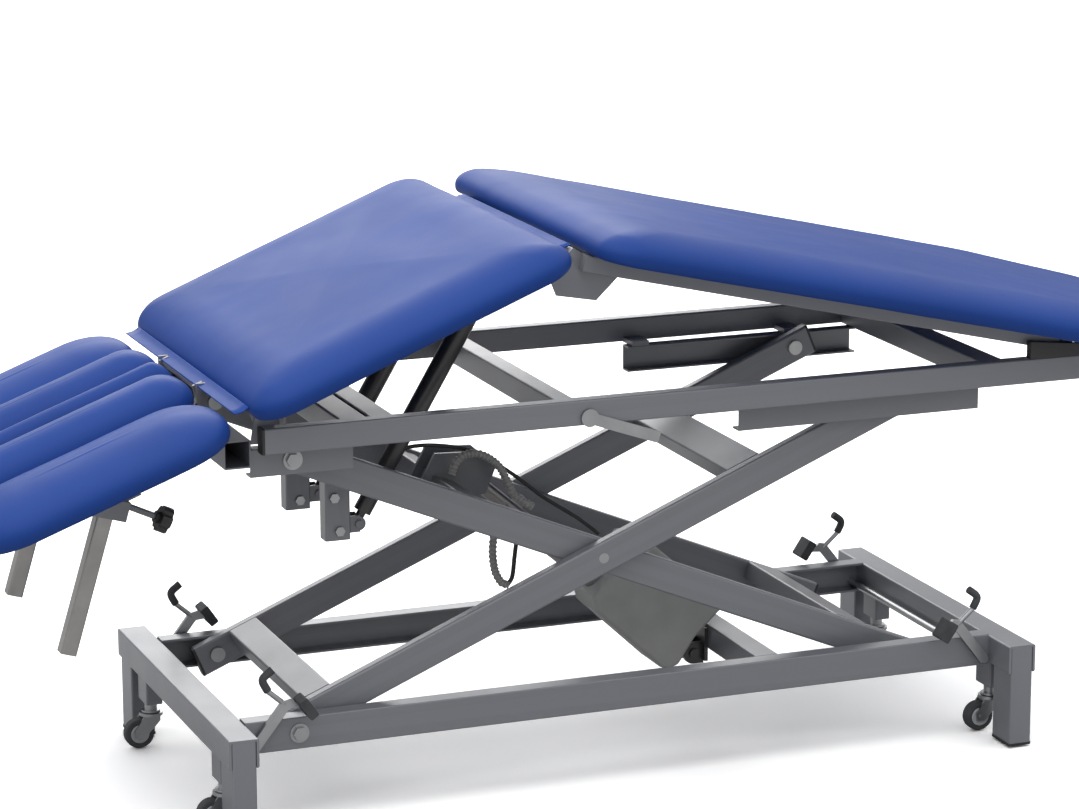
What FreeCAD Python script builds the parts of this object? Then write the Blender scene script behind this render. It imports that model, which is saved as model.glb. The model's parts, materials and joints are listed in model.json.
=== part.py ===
"""Adjustable examination table: scissor-lift base, top frame and a three-part padded top.

Millimetres.  +X runs from the head end to the foot end, +Y is the far side, +Z is up.
The origin is the centre of the base on the floor.
"""
import FreeCAD
import Part
import math
import os
import re
import Sketcher
from types import SimpleNamespace

Vector = FreeCAD.Vector

DIMENSIONS = {
    # base frame
    "rail_deep": 50, "rail_wide": 30, "rail_wall": 4, "rail_length": 1244, "rail_outer": 244,
    "rail_axis": 147, "beam_wide": 46.5, "beam_deep": 45, "beam_length": 628, "beam_offset": 645.25,
    "beam_axis": 147.5, "beam_inner": 38.5, "leg_wide": 38, "leg_deep": 60, "leg_offset": 284,
    "leg_foot": 8, "leg_top": 166, "glide_radius": 16, "glide_high": 4, "cap_thick": 4,
    "cross_x": 244, "cross_size": 40, "cross_axis": 152,
    # castors
    "castor_offset": 208, "castor_trail": 21, "castor_radius": 24, "castor_axle_z": 25.5,
    "castor_wide": 19, "sleeve_foot": 77, "sleeve_wide": 27, "sleeve_deep": 50,
    "plunger_radius": 10, "stem_radius": 5, "axle_radius": 4,
    # pedals
    "pedal_x": 611, "pedal_z": 134, "pedal_shaft": 6, "pedal_bar": 4, "pedal_side": 250,
    # scissor arms
    "arm_deep": 50, "arm_wide": 20, "arm_wall": 2.5, "arm_span": 1097, "arm_tail": 30,
    "arm_slope": 22.5, "pivot_x": -538, "pivot_z": 147.5, "arm_a_side": 200, "arm_b_side": 178,
    "pivot_radius": 8, "running_gap": 0.05,
    "base_roller": 20, "top_roller": 17.5, "roller_wide": 16,
    # lift actuator
    "motor_x": 204, "motor_z": 124, "eye_along": 364.2, "eye_above": 37.9, "rod_radius": 12,
    "tube_radius": 22, "cover_wide": 96, "cover_wall": 3,
    # top frame
    "top_deep": 39.4, "top_wide": 25, "top_axis": 607.7, "top_left": -592.3, "top_right": 865,
    "top_outer": 277, "channel_deep": 43, "channel_wide": 24, "channel_wall": 3,
    "channel_low": 545, "channel_outer": 235, "tube_top": 626, "tube_deep": 38,
    "post_side": 100, "post_x": -430, "post_foot": 402, "post_wide": 30, "post_long": 40,
    # struts of the middle section
    "strut_x": -396, "strut_z": 425, "strut_top_x": -192, "strut_top_z": 766,
    "strut_radius": 14, "strut_cover": 16,
    # middle section
    "mid_slope": 22, "mid_x": -615.3, "mid_z": 647.6, "mid_length": 532, "bed_width": 720,
    "pad_thick": 60, "pad_corner": 57, "pad_edge": 20, "hinge_x": -585, "hinge_z": 640,
    "mid_rail_side": 232, "mid_rail_wide": 22, "frame_deep": 26, "frame_gap": 0.5,
    # leg section
    "peak_x": -103, "peak_z": 838, "leg_slope": -13, "leg_x": -84.7, "leg_z": 849.1,
    "leg_length": 1156, "leg_taper": 930, "toe_width": 400, "leg_rail_side": 256,
    "leg_rail_wide": 20, "slide_x": 730, "slide_z": 647.7,
    # head section
    "head_slope": 20.5, "head_x": -633, "head_z": 641, "head_hinge_x": -638, "head_hinge_z": 655,
    "head_length": 410, "inner_pad": 120, "inner_side": 93, "centre_pad": 60, "arm_pad": 205,
    "arm_pad_side": 257.5, "arm_pad_drop": 8, "head_corner": 45, "head_gap": 22, "post_size": 25,
    "armrest_side": 168, "armrest_lean": 16.8, "knob_radius": 20,
}
size = SimpleNamespace(**DIMENSIONS)
SIDES = {"near": -1, "far": 1}
ENDS = {"head": -1, "foot": 1}

doc = FreeCAD.newDocument("exam_table")
sheet = doc.addObject("Spreadsheet::Sheet", "Sizes")
for row, (alias, number) in enumerate(DIMENSIONS.items(), start=1):
    sheet.set(f"A{row}", alias.replace("_", " "))
    sheet.set(f"B{row}", str(number))
    sheet.setAlias(f"B{row}", alias)
doc.recompute()


class Line:
    """A frame in the XZ plane: positions run along a slope and above it."""

    def __init__(self, x, z, slope):
        self.origin = Vector(x, 0, z)
        self.turn = FreeCAD.Rotation(Vector(0, -1, 0), slope)

    def at(self, along, y, above):
        return self.origin + self.turn.multVec(Vector(along, y, above))

    def local(self, x, z):
        point = self.turn.inverted().multVec(Vector(x, 0, z) - self.origin)
        return point.x, point.z


UPRIGHT = Line(0, 0, 0)
ARM_A = Line(size.pivot_x, size.pivot_z, size.arm_slope)
ARM_RISE = size.arm_span * math.sin(math.radians(size.arm_slope))
ARM_REACH = size.arm_span * math.cos(math.radians(size.arm_slope))
TOP_PIVOT_Z = size.pivot_z + ARM_RISE
ROLLER_X = size.pivot_x + ARM_REACH
ARM_B = Line(size.pivot_x, TOP_PIVOT_Z, -size.arm_slope)
MID = Line(size.mid_x, size.mid_z, size.mid_slope)
LEG = Line(size.leg_x, size.leg_z, size.leg_slope)
HEAD = Line(size.head_x, size.head_z, size.head_slope)


def bound(text):
    """Write a size rule, such as 'rail_deep - 2 * rail_wall', in terms of the sheet's cells."""
    return re.sub(r"[a-z][a-z_]+", lambda word: "Sizes." + word.group(), text)


def bind(feature, **rules):
    for name, rule in rules.items():
        feature.setExpression(name, bound(str(rule)))
    feature.recompute()
    return feature


def block(sizes, middle, line=UPRIGHT):
    """A rectangular block, its middle given as (along, y, above) of a line."""
    box = doc.addObject("Part::Box", "Block")
    bind(box, Length=sizes[0], Width=sizes[1], Height=sizes[2])
    half = Vector(box.Length.Value, box.Width.Value, box.Height.Value) * 0.5
    box.Placement = FreeCAD.Placement(line.at(*middle) - line.turn.multVec(half), line.turn)
    return box


def bar(radius, start, end):
    """A round bar between two points."""
    start, end = Vector(*start), Vector(*end)
    cylinder = doc.addObject("Part::Cylinder", "Bar")
    bind(cylinder, Radius=radius, Height=round((end - start).Length, 6))
    turn = FreeCAD.Rotation(Vector(0, 0, 1), end - start)
    cylinder.Placement = FreeCAD.Placement(start, turn)
    return cylinder


def cross_bar(radius, along, above, y_from, y_to, line=UPRIGHT):
    """A round bar parallel to Y."""
    return bar(radius, line.at(along, y_from, above), line.at(along, y_to, above))


def hex_head(radius, x, z, y_from, y_to):
    prism = doc.addObject("Part::Prism", "Hexagon")
    bind(prism, Circumradius=radius, Height=abs(y_to - y_from))
    turn = FreeCAD.Rotation(Vector(0, 0, 1), Vector(0, y_to - y_from, 0))
    prism.Placement = FreeCAD.Placement(Vector(x, y_from, z), turn)
    return prism


def fuse(*parts):
    joined = doc.addObject("Part::MultiFuse", "Fusion")
    joined.Shapes = list(parts)
    joined.Refine = True
    joined.recompute()
    return joined


def cut(base, *tools):
    for tool in tools:
        result = doc.addObject("Part::Cut", "Cut")
        result.Base = base
        result.Tool = tool
        result.recompute()
        base = result
    return base


def group(*parts):
    together = doc.addObject("Part::Compound", "Group")
    together.Links = list(parts)
    together.recompute()
    return together


def round_edges(feature, radius, chosen):
    """Round every edge of a feature for which chosen(edge) is true."""
    fillet = doc.addObject("Part::Fillet", "Fillet")
    fillet.Base = feature
    fillet.Edges = [(number, radius, radius)
                    for number, edge in enumerate(feature.Shape.Edges, start=1) if chosen(edge)]
    fillet.recompute()
    return fillet


def rounded(feature, radius, direction):
    """Round the edges of a feature that run along a direction."""
    way = Vector(*direction)

    def runs_along(edge):
        run = edge.Vertexes[-1].Point - edge.Vertexes[0].Point
        return run.Length > 0 and abs(run.normalize().dot(way)) > 0.999

    return round_edges(feature, radius, runs_along)


def tube(sizes, middle, line=UPRIGHT, wall=2.5, run="x", corner=3.0):
    """A rectangular tube, hollow along one of its three directions."""
    axis = "xyz".index(run)
    direction = line.turn.multVec(Vector(*[1 if i == axis else 0 for i in range(3)]))
    outer = rounded(block(sizes, middle, line), corner, direction)
    inner_sizes = [f"{rule} - 2 * {wall}" for rule in sizes]
    inner_sizes[axis] = f"{sizes[axis]} + 2"
    return cut(outer, block(inner_sizes, middle, line))


def plate(points, y_from, y_to, line=UPRIGHT):
    """A flat plate parallel to XZ: its outline is given as (along, above) points."""
    feature = doc.addObject("Part::Feature", "Plate")
    corners = [line.at(along, y_from, above) for along, above in points]
    face = Part.Face(Part.makePolygon(corners + corners[:1]))
    feature.Shape = face.extrude(Vector(0, y_to - y_from, 0))
    return feature


NODES = {}


def node(name, feature):
    feature.Label = name
    NODES[name] = feature


def origin_plane(body, role):
    return next(item for item in body.Origin.OriginFeatures if item.Role == role)


def closed_sketch(body, corners):
    """A closed outline of straight lines on the body's XY plane."""
    sketch = body.newObject("Sketcher::SketchObject", "Outline")
    sketch.AttachmentSupport = (origin_plane(body, "XY_Plane"), [""])
    sketch.MapMode = "FlatFace"
    points = [Vector(x, y, 0) for x, y in corners]
    for start, end in zip(points, points[1:] + points[:1]):
        sketch.addGeometry(Part.LineSegment(start, end), False)
    count = len(points)
    for line in range(count):
        sketch.addConstraint(Sketcher.Constraint("Coincident", line, 2, (line + 1) % count, 1))
    return sketch


def sketch_rectangle(body, length_rule, width_rule):
    """A rectangle centred on the origin, its two sides bound to the sheet."""
    sketch = closed_sketch(body, [(-10, -5), (10, -5), (10, 5), (-10, 5)])
    for line, way in enumerate(("Horizontal", "Vertical", "Horizontal", "Vertical")):
        sketch.addConstraint(Sketcher.Constraint(way, line))
    sketch.addConstraint(Sketcher.Constraint("Symmetric", 0, 1, 2, 1, -1, 1))
    for way, line, rule in (("DistanceX", 0, length_rule), ("DistanceY", 1, width_rule)):
        number = sketch.addConstraint(Sketcher.Constraint(way, line, 1, line, 2, 10.0))
        sketch.setExpression(f"Constraints[{number}]", bound(rule))
    return sketch


def padded_block(name, sketch_maker, corner_rule, middle, line):
    """A pad: an outline, padded to its thickness, with rounded corners and top edge."""
    body = doc.addObject("PartDesign::Body", name + "_body")
    sketch = sketch_maker(body)
    pad = body.newObject("PartDesign::Pad", "Pad")
    pad.Profile = sketch
    pad.setExpression("Length", bound("pad_thick"))
    doc.recompute()
    upright = [f"Edge{number}" for number, edge in enumerate(pad.Shape.Edges, start=1)
               if abs(edge.Vertexes[0].Z - edge.Vertexes[-1].Z) > 1]
    corners = body.newObject("PartDesign::Fillet", "Corners")
    corners.Base = (pad, upright)
    corners.setExpression("Radius", bound(corner_rule))
    doc.recompute()
    top = max(vertex.Z for vertex in corners.Shape.Vertexes)
    upper = [f"Edge{number}" for number, edge in enumerate(corners.Shape.Edges, start=1)
             if min(vertex.Z for vertex in edge.Vertexes) > top - 0.01]
    edge_round = body.newObject("PartDesign::Fillet", "TopEdge")
    edge_round.Base = (corners, upper)
    edge_round.setExpression("Radius", bound("pad_edge"))
    doc.recompute()
    body.Placement = FreeCAD.Placement(line.at(*middle), line.turn)
    node(name, body)


# ---------------------------------------------------------------- base frame

def base_rail(side):
    y = side * (size.rail_outer - size.rail_wide / 2)
    outer = rounded(block(("rail_length", "rail_wide", "rail_deep"), (0, y, size.rail_axis)),
                    2.0, (1, 0, 0))
    inside = block(("rail_length + 2", "rail_wide", "rail_deep - 2 * rail_wall"),
                   (0, y - side * size.rail_wall, size.rail_axis))
    hole = size.pivot_radius + size.running_gap
    pivot = cross_bar(hole, size.pivot_x, size.pivot_z, side * 230, side * 250)
    shafts = [cross_bar(size.pedal_shaft + size.running_gap, end * size.pedal_x, size.pedal_z,
                        side * 230, side * 250) for end in ENDS.values()]
    return cut(outer, inside, pivot, *shafts)


def crossbeam(end):
    x = end * size.beam_offset
    outer = rounded(block(("beam_wide", "beam_length", "beam_deep"), (x, 0, size.beam_axis)),
                    3.0, (0, 1, 0))
    inside = block(("beam_inner", "beam_length + 2", "beam_deep"), (x, 0, size.beam_axis - 4))
    return cut(outer, inside)


def corner_leg(end, side):
    middle = (end * size.beam_offset, side * size.leg_offset, (size.leg_foot + size.leg_top) / 2)
    return tube(("leg_wide", "leg_deep", "leg_top - leg_foot"), middle, wall=3, run="z")


def leg_glide(end, side):
    x, y = end * size.beam_offset, side * size.leg_offset
    cap = rounded(block(("leg_wide + 2", "leg_deep", "leg_foot - glide_high"),
                        (x, y, (size.leg_foot + size.glide_high) / 2)), 3.0, (0, 0, 1))
    return fuse(cap, bar("glide_radius", (x, y, 0), (x, y, size.glide_high)))


def castor_sleeve(end, side):
    x, y = end * size.beam_offset, side * size.castor_offset
    outer = rounded(block(("sleeve_wide", "sleeve_deep", "leg_top - sleeve_foot"),
                          (x, y, (size.leg_top + size.sleeve_foot) / 2)), 3.0, (0, 0, 1))
    return cut(outer, bar("plunger_radius + running_gap", (x, y, 70), (x, y, 158)))


def pivot_bolt(side, z, y_nut, y_arm, y_web, spacer):
    """A bolt through an arm and the web of a channel, with a washer and a spacer."""
    x = size.pivot_x
    return fuse(cross_bar("pivot_radius", x, z, side * y_nut, side * (y_web + 8)),
                cross_bar(12, x, z, side * y_nut, side * (y_nut + 4.6)),
                cross_bar(spacer, x, z, side * (y_arm + 0.3), side * (y_web - 4)),
                cross_bar(15, x, z, side * y_web, side * (y_web + 2.5)),
                hex_head(11, x, z, side * (y_web + 2.5), side * (y_web + 8)))


def each_corner(maker):
    return [maker(end, side) for end in ENDS.values() for side in SIDES.values()]


def build_base():
    node("base_rails", group(*[base_rail(side) for side in SIDES.values()]))
    node("base_crossbeams", group(*[crossbeam(end) for end in ENDS.values()]))
    node("corner_legs", group(*each_corner(corner_leg)))
    node("leg_glides", group(*each_corner(leg_glide)))
    node("castor_sleeves", group(*each_corner(castor_sleeve)))
    rail_gap = "2 * rail_outer - 2 * rail_wide"
    node("base_cross_tube", tube(("cross_size", rail_gap, "cross_size"),
                                 (size.cross_x, 0, size.cross_axis), run="y"))
    node("base_pivot_bolts", group(*[pivot_bolt(side, size.pivot_z, 184, 210, 244, 13)
                                     for side in SIDES.values()]))
    x, z = size.motor_x, size.motor_z
    parts = [block((6, 60, 56), (size.cross_x - 23, 0, 140))]
    for side in SIDES.values():
        parts.append(block((17, 6, 36), (x + 8.5, side * 16, z)))
        parts.append(cross_bar(18, x, z, side * 13, side * 19))
    parts.append(cross_bar("pivot_radius", x, z, -23, 23))
    node("actuator_clevis", fuse(*parts))


# ------------------------------------------------------------------- castors

def build_castor(end_name, side_name):
    x = ENDS[end_name] * size.beam_offset
    y = SIDES[side_name] * size.castor_offset
    axle_x = x - size.castor_trail
    axle_z = size.castor_axle_z
    parts = [bar("stem_radius", (x, y, 58), (x, y, 108)),
             bar(19, (x, y, 54), (x, y, 59)),
             cross_bar("axle_radius", axle_x, axle_z, y - 14, y + 14)]
    for side in SIDES.values():
        outline = [(x + 12, 54), (x + 12, 46), (axle_x + 7, 19), (axle_x - 7, 19), (axle_x - 9, 30),
                   (x - 15, 54)]
        parts.append(plate(outline, y + side * 10.5, y + side * 13))
    node(f"castor_fork_{end_name}_{side_name}", fuse(*parts))
    half = size.castor_wide / 2
    tyre = cross_bar("castor_radius", axle_x, axle_z, y - half, y + half)
    wheel = round_edges(tyre, 4.0, lambda edge: edge.Closed)
    bore = cross_bar("axle_radius + running_gap", axle_x, axle_z, y - 12, y + 12)
    node(f"castor_wheel_{end_name}_{side_name}", cut(wheel, bore))


def build_castors():
    for end_name, end in ENDS.items():
        plungers = []
        for side in SIDES.values():
            x, y = end * size.beam_offset, side * size.castor_offset
            body = fuse(bar("plunger_radius", (x, y, 61), (x, y, 150)),
                        bar(15, (x, y, 60), (x, y, 63)))
            plungers.append(cut(body, bar("stem_radius + running_gap", (x, y, 59), (x, y, 112))))
        node(f"castor_stems_{end_name}", group(*plungers))
        for side_name in SIDES:
            build_castor(end_name, side_name)


# -------------------------------------------------------------------- pedals

def bent_rod(points, radius, bend):
    """A round rod along straight runs in one XZ plane, joined by arcs of one bend radius."""
    edges = []
    start = points[0]
    for before, corner, after in zip(points, points[1:], points[2:]):
        towards = (before - corner).normalize()
        away = (after - corner).normalize()
        half_angle = towards.getAngle(away) / 2
        setback = bend / math.tan(half_angle)
        middle = (towards + away).normalize() * (bend / math.sin(half_angle) - bend)
        first, last = corner + towards * setback, corner + away * setback
        edges.append(Part.LineSegment(start, first).toShape())
        edges.append(Part.Arc(first, corner + middle, last).toShape())
        start = last
    edges.append(Part.LineSegment(start, points[-1]).toShape())
    direction = points[1] - points[0]
    profile = Part.Wire([Part.makeCircle(radius, points[0], direction)])
    feature = doc.addObject("Part::Feature", "BentRod")
    feature.Shape = Part.Wire(edges).makePipeShell([profile], True, False)
    return feature


def build_pedal(end_name):
    """A foot pedal: a shaft through both rails, with an arm, a pad and a toe hook at each end."""
    end = ENDS[end_name]
    reach = size.pedal_side + 3.5
    parts = [cross_bar("pedal_shaft", end * size.pedal_x, size.pedal_z, -reach, reach)]
    pads = []
    pad_line = Line(end * 533, 194, end * 56)
    face = [pad_line.at(end * t, 0, -7.5) for t in (10, 2)]
    outline = [(end * 617, 138), (end * 566, 203), (end * 553, 206)]
    outline += [(point.x, point.z) for point in face]
    outline += [(end * 556, 190), (end * 605, 128)]
    for side in SIDES.values():
        y = side * size.pedal_side
        parts.append(plate(outline, y - 3.5, y + 3.5))
        hook = [Vector(end * x, y, z) for x, z in ((562, 197), (588, 220), (597, 237), (581, 252))]
        parts.append(bent_rod(hook, size.pedal_bar, 8))
        pads.append(rounded(block((34, 34, 15), (0, side * (size.pedal_side + 13.5), 0), pad_line),
                            3.0, (0, 1, 0)))
    node(f"pedal_{end_name}_frame", fuse(*parts))
    node(f"pedal_{end_name}_pads", group(*pads))


# -------------------------------------------------------------- scissor arms

def scissor_arm(line, y, holes):
    middle = (size.arm_span / 2, y, 0)
    body = tube(("arm_span + 2 * arm_tail", "arm_wide", "arm_deep"), middle, line, run="x",
                wall=size.arm_wall, corner=4.0)
    tools = [cross_bar("pivot_radius + running_gap", along, 0, y - 14, y + 14, line)
             for along in holes]
    return cut(body, *tools)


def arm_caps(line, offset):
    caps = []
    for side in SIDES.values():
        for along in (-size.arm_tail - 2, size.arm_span + size.arm_tail + 2):
            cap = block((size.cap_thick, "arm_wide", "arm_deep"), (along, side * offset, 0), line)
            caps.append(rounded(cap, 3.5, line.turn.multVec(Vector(1, 0, 0))))
    return group(*caps)


def roller(line, radius, side, y_axle, y_wheel, y_nut):
    """A wheel on a stub axle that turns in the end of an arm."""
    along = size.arm_span
    wheel = cross_bar(radius, along, 0, side * y_wheel, side * (y_wheel + size.roller_wide), line)
    axle = cross_bar("pivot_radius", along, 0, side * y_nut, side * (y_wheel + 1), line)
    head = cross_bar(12, along, 0, side * y_nut, side * (y_nut + 4), line)
    collar = cross_bar(11, along, 0, side * y_axle, side * (y_wheel + 1), line)
    return fuse(wheel, axle, head, collar)


def build_arms():
    span = size.arm_span
    holes = (0, span / 2, span)
    node("arms_a", group(*[scissor_arm(ARM_A, side * size.arm_a_side, holes)
                           for side in SIDES.values()]))
    node("arms_b", group(*[scissor_arm(ARM_B, side * size.arm_b_side, holes)
                           for side in SIDES.values()]))
    node("arm_a_caps", arm_caps(ARM_A, size.arm_a_side))
    node("arm_b_caps", arm_caps(ARM_B, size.arm_b_side))
    gap_a = "2 * arm_a_side - arm_wide"
    gap_b = "2 * arm_b_side - arm_wide"
    node("arm_a_cross_tubes", group(tube((50, gap_a, 30), (57, 0, 10), ARM_A, run="y"),
                                    tube((60, gap_a, 30), (820, 0, 10), ARM_A, run="y")))
    node("arm_b_lower_tube", tube((60, gap_b, 30), (1020, 0, 10), ARM_B, run="y"))
    upper = tube((40, gap_b, 40), (330, 0, 0), ARM_B, run="y")
    cheeks = [plate([(292, -18), (345, -20), (405, 18), (405, 66), (372, 78), (300, 52)],
                    side * 20, side * 26, ARM_B) for side in SIDES.values()]
    node("arm_b_upper_tube", fuse(upper, *cheeks))
    node("rollers_a", group(*[roller(ARM_A, "top_roller", side, 210.3, 214, 185.5)
                              for side in SIDES.values()]))
    node("rollers_b", group(*[roller(ARM_B, "base_roller", side, 188.3, 217, 163.5)
                              for side in SIDES.values()]))
    pins = []
    for side in SIDES.values():
        pins.append(fuse(cross_bar("pivot_radius", span / 2, 0, side * 162, side * 210, ARM_B),
                         cross_bar(13, span / 2, 0, side * 162, side * 168, ARM_B)))
    node("centre_pivot_pins", group(*pins))


# ------------------------------------------------------------------ actuator

def build_actuator():
    """A linear actuator between the base cross tube and the upper tube of the inner arms."""
    eye = ARM_B.at(size.eye_along, 0, size.eye_above)
    start = Vector(size.motor_x, 0, size.motor_z)
    rise = math.degrees(math.atan2(eye.z - start.z, start.x - eye.x))
    line = Line(size.motor_x, size.motor_z, -rise)
    stroke = (eye - start).Length
    half = size.cover_wide / 2
    outline = [(-46, -52), (-200, -46), (-221, -31), (-221, 80), (-205, 95), (-22, 93), (-30, 20),
               (-24, -30), (-32, -47)]
    inner = [(-49, -49), (-199, -43), (-218, -29), (-218, 79), (-204, 92), (-26, 90), (-33, 20),
             (-27, -30), (-34, -44)]
    shell = round_edges(plate(outline, -half, half, line), 7.0,
                        lambda edge: abs(edge.Vertexes[0].Y - edge.Vertexes[-1].Y) < 1)
    hollow = plate(inner, -half + size.cover_wall, half - size.cover_wall, line)
    front = bar("tube_radius + 0.3", line.at(-205, 0, 0), line.at(-230, 0, 0))
    rear = block((40, 34, 36), (-20, 0, 0), line)
    node("actuator_cover", cut(shell, hollow, front, rear))
    eye_block = fuse(bar(13, (start.x, -12, start.z), (start.x, 12, start.z)),
                     block((64, 24, 24), (-33, 0, 0), line),
                     bar(30, line.at(-62, 0, 10), line.at(-190, 0, 10)))
    motor = cut(eye_block, cross_bar("pivot_radius + running_gap", 0, 0, -20, 20, line),
                bar("tube_radius", line.at(-85, 0, 0), line.at(-200, 0, 0)))
    node("actuator_motor", motor)
    tube_body = bar("tube_radius", line.at(-85, 0, 0), line.at(-330, 0, 0))
    node("actuator_tube", cut(tube_body, bar("rod_radius + running_gap", line.at(-90, 0, 0),
                                             line.at(-340, 0, 0))))
    node("actuator_rod", fuse(bar("rod_radius", line.at(-200, 0, 0), line.at(-stroke + 8, 0, 0)),
                              cross_bar(13, -stroke, 0, -15, 15, line),
                              cross_bar(7, -stroke, 0, -19, 19, line)))


# ----------------------------------------------------------------- top frame

def roller_channel(side, left, right, straps, pivot):
    """A channel under a top rail, open inward, welded to the rail by short straps."""
    y = side * (size.channel_outer - size.channel_wide / 2)
    z = size.channel_low + size.channel_deep / 2
    length, x = right - left, (left + right) / 2
    outer = rounded(block((length, "channel_wide", "channel_deep"), (x, y, z)), 1.5, (1, 0, 0))
    inside = block((length + 2, "channel_wide", "channel_deep - 2 * channel_wall"),
                   (x, y - side * size.channel_wall, z))
    body = cut(outer, inside)
    links = [block((30, 41, 8), (strap, side * 231.5, size.channel_low + size.channel_deep + 4))
             for strap in straps]
    body = fuse(body, *links)
    if pivot:
        hole = cross_bar("pivot_radius + running_gap", size.pivot_x, TOP_PIVOT_Z,
                         side * 228, side * 240)
        body = cut(body, hole)
    return body


def top_rail(side):
    """A top rail and the hinge plate of the middle section, welded to its inner face."""
    middle_x = (size.top_left + size.top_right) / 2
    y = side * (size.top_outer - size.top_wide / 2)
    rail = tube(("top_right - top_left", "top_wide", "top_deep"), (middle_x, y, size.top_axis),
                run="x")
    lever = cross_bar(6 + size.running_gap, -83, 600, -300, -240)
    ear = plate([(-606, 600), (-566, 600), (-572, 652), (-598, 652)], side * 246, side * 252)
    hole = cross_bar(6 + size.running_gap, size.hinge_x, size.hinge_z, side * 240, side * 256)
    return [cut(rail, hole, lever), cut(ear, hole)]


def strut_post(side):
    """A post that hangs from the top frame and holds the foot of a strut."""
    y = side * size.post_side
    top = size.tube_top - size.tube_deep
    middle = (size.post_x, y, (top + size.post_foot) / 2)
    body = tube(("post_long", "post_wide", f"{top} - post_foot"), middle, run="z")
    ears = []
    for way in (-1, 1):
        ears.append(block((16, 4, 26), (-402, y + way * 11.5, size.strut_z)))
        ears.append(cross_bar(11, size.strut_x, size.strut_z, y + way * 9.5, y + way * 13.5))
    pin = cross_bar(6, size.strut_x, size.strut_z, y - 17, y + 17)
    bolts = [cross_bar(5 + size.running_gap, size.post_x + dx, size.strut_z + dz, y - 20, y + 20)
             for dx, dz in ((-6, 45), (2, -8))]
    return cut(fuse(body, pin, *ears), *bolts)


def post_bolt(side, dx, dz):
    x, z, y = size.post_x + dx, size.strut_z + dz, side * size.post_side
    return fuse(cross_bar(5, x, z, y - 19, y + 15), hex_head(8, x, z, y - 15, y - 20),
                hex_head(8, x, z, y + 15, y + 20))


def build_top_frame():
    node("top_rails", group(*top_rail(-1), *top_rail(1)))
    z = size.tube_top - size.tube_deep / 2
    gap = "2 * top_outer - 2 * top_wide"
    tubes = [tube((wide, gap, "tube_deep"), (x, 0, z), run="y")
             for x, wide in ((-448.5, 43), (-404, 38), (-114, 32), (610, 40))]
    ears = []
    for side in SIDES.values():
        ear = plate([(-642, 604), (-629, 604), (-630, 664), (-646, 664), (-646, 648)],
                    side * 100, side * 106)
        ears.append(cut(ear, cross_bar(6 + size.running_gap, size.head_hinge_x, size.head_hinge_z,
                                       side * 98, side * 108)))
    tubes.append(fuse(tube((42, 480, 43), (-624, 0, 583.5), run="y"), *ears))
    node("top_cross_tubes", group(*tubes))
    channels = []
    for side in SIDES.values():
        channels.append(roller_channel(side, -603, -444, [-568], True))
        channels.append(roller_channel(side, 183, 597, [205, 480], False))
    node("roller_channels", group(*channels))
    caps = []
    for side in SIDES.values():
        for x in (size.top_left - 2, size.top_right + 2):
            y = side * (size.top_outer - size.top_wide / 2)
            cap = block((size.cap_thick, "top_wide", "top_deep"), (x, y, size.top_axis))
            caps.append(rounded(cap, 3.0, (1, 0, 0)))
    node("top_rail_caps", group(*caps))
    node("strut_posts", group(*[strut_post(side) for side in SIDES.values()]))
    bolts = [pivot_bolt(side, TOP_PIVOT_Z, 163, 188, 235, 12) for side in SIDES.values()]
    for side in SIDES.values():
        bolts.append(post_bolt(side, -6, 45))
        bolts.append(post_bolt(side, 2, -8))
    node("top_frame_bolts", group(*bolts))
    lever_line = Line(-83, 600, -19.5)
    node("release_lever", fuse(
        cross_bar(6, -83, 600, -282, -254), cross_bar(14, -83, 600, -282, -278),
        rounded(block((120, 4, 18), (60, -280, 0), lever_line), 4.0, (0, 1, 0))))


# -------------------------------------------------------------------- struts

def build_struts():
    foot = Vector(size.strut_x, 0, size.strut_z)
    head = Vector(size.strut_top_x, 0, size.strut_top_z)
    span = head - foot
    line = Line(foot.x, foot.z, math.degrees(math.atan2(span.z, span.x)))
    cylinders = []
    covers = []
    for side in SIDES.values():
        y = side * size.post_side
        lower = fuse(bar("strut_radius", line.at(18, y, 0), line.at(250, y, 0)),
                     cross_bar(10.5, 0, 0, y - 8.5, y + 8.5, line),
                     bar(7, line.at(6, y, 0), line.at(20, y, 0)))
        cylinders.append(cut(lower, cross_bar(6 + size.running_gap, 0, 0, y - 10, y + 10, line)))
        sleeve = cut(bar("strut_cover", line.at(150, y, 0), line.at(span.Length - 16, y, 0)),
                     bar("strut_radius + running_gap", line.at(140, y, 0),
                         line.at(span.Length - 26, y, 0)))
        eye = fuse(sleeve, bar(7, line.at(span.Length - 18, y, 0), line.at(span.Length - 4, y, 0)),
                   cross_bar(9.5, span.Length, 0, y - 15, y + 15, line))
        covers.append(eye)
    node("strut_cylinders", group(*cylinders))
    node("strut_covers", group(*covers))


# -------------------------------------------------------------- padded sections

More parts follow.
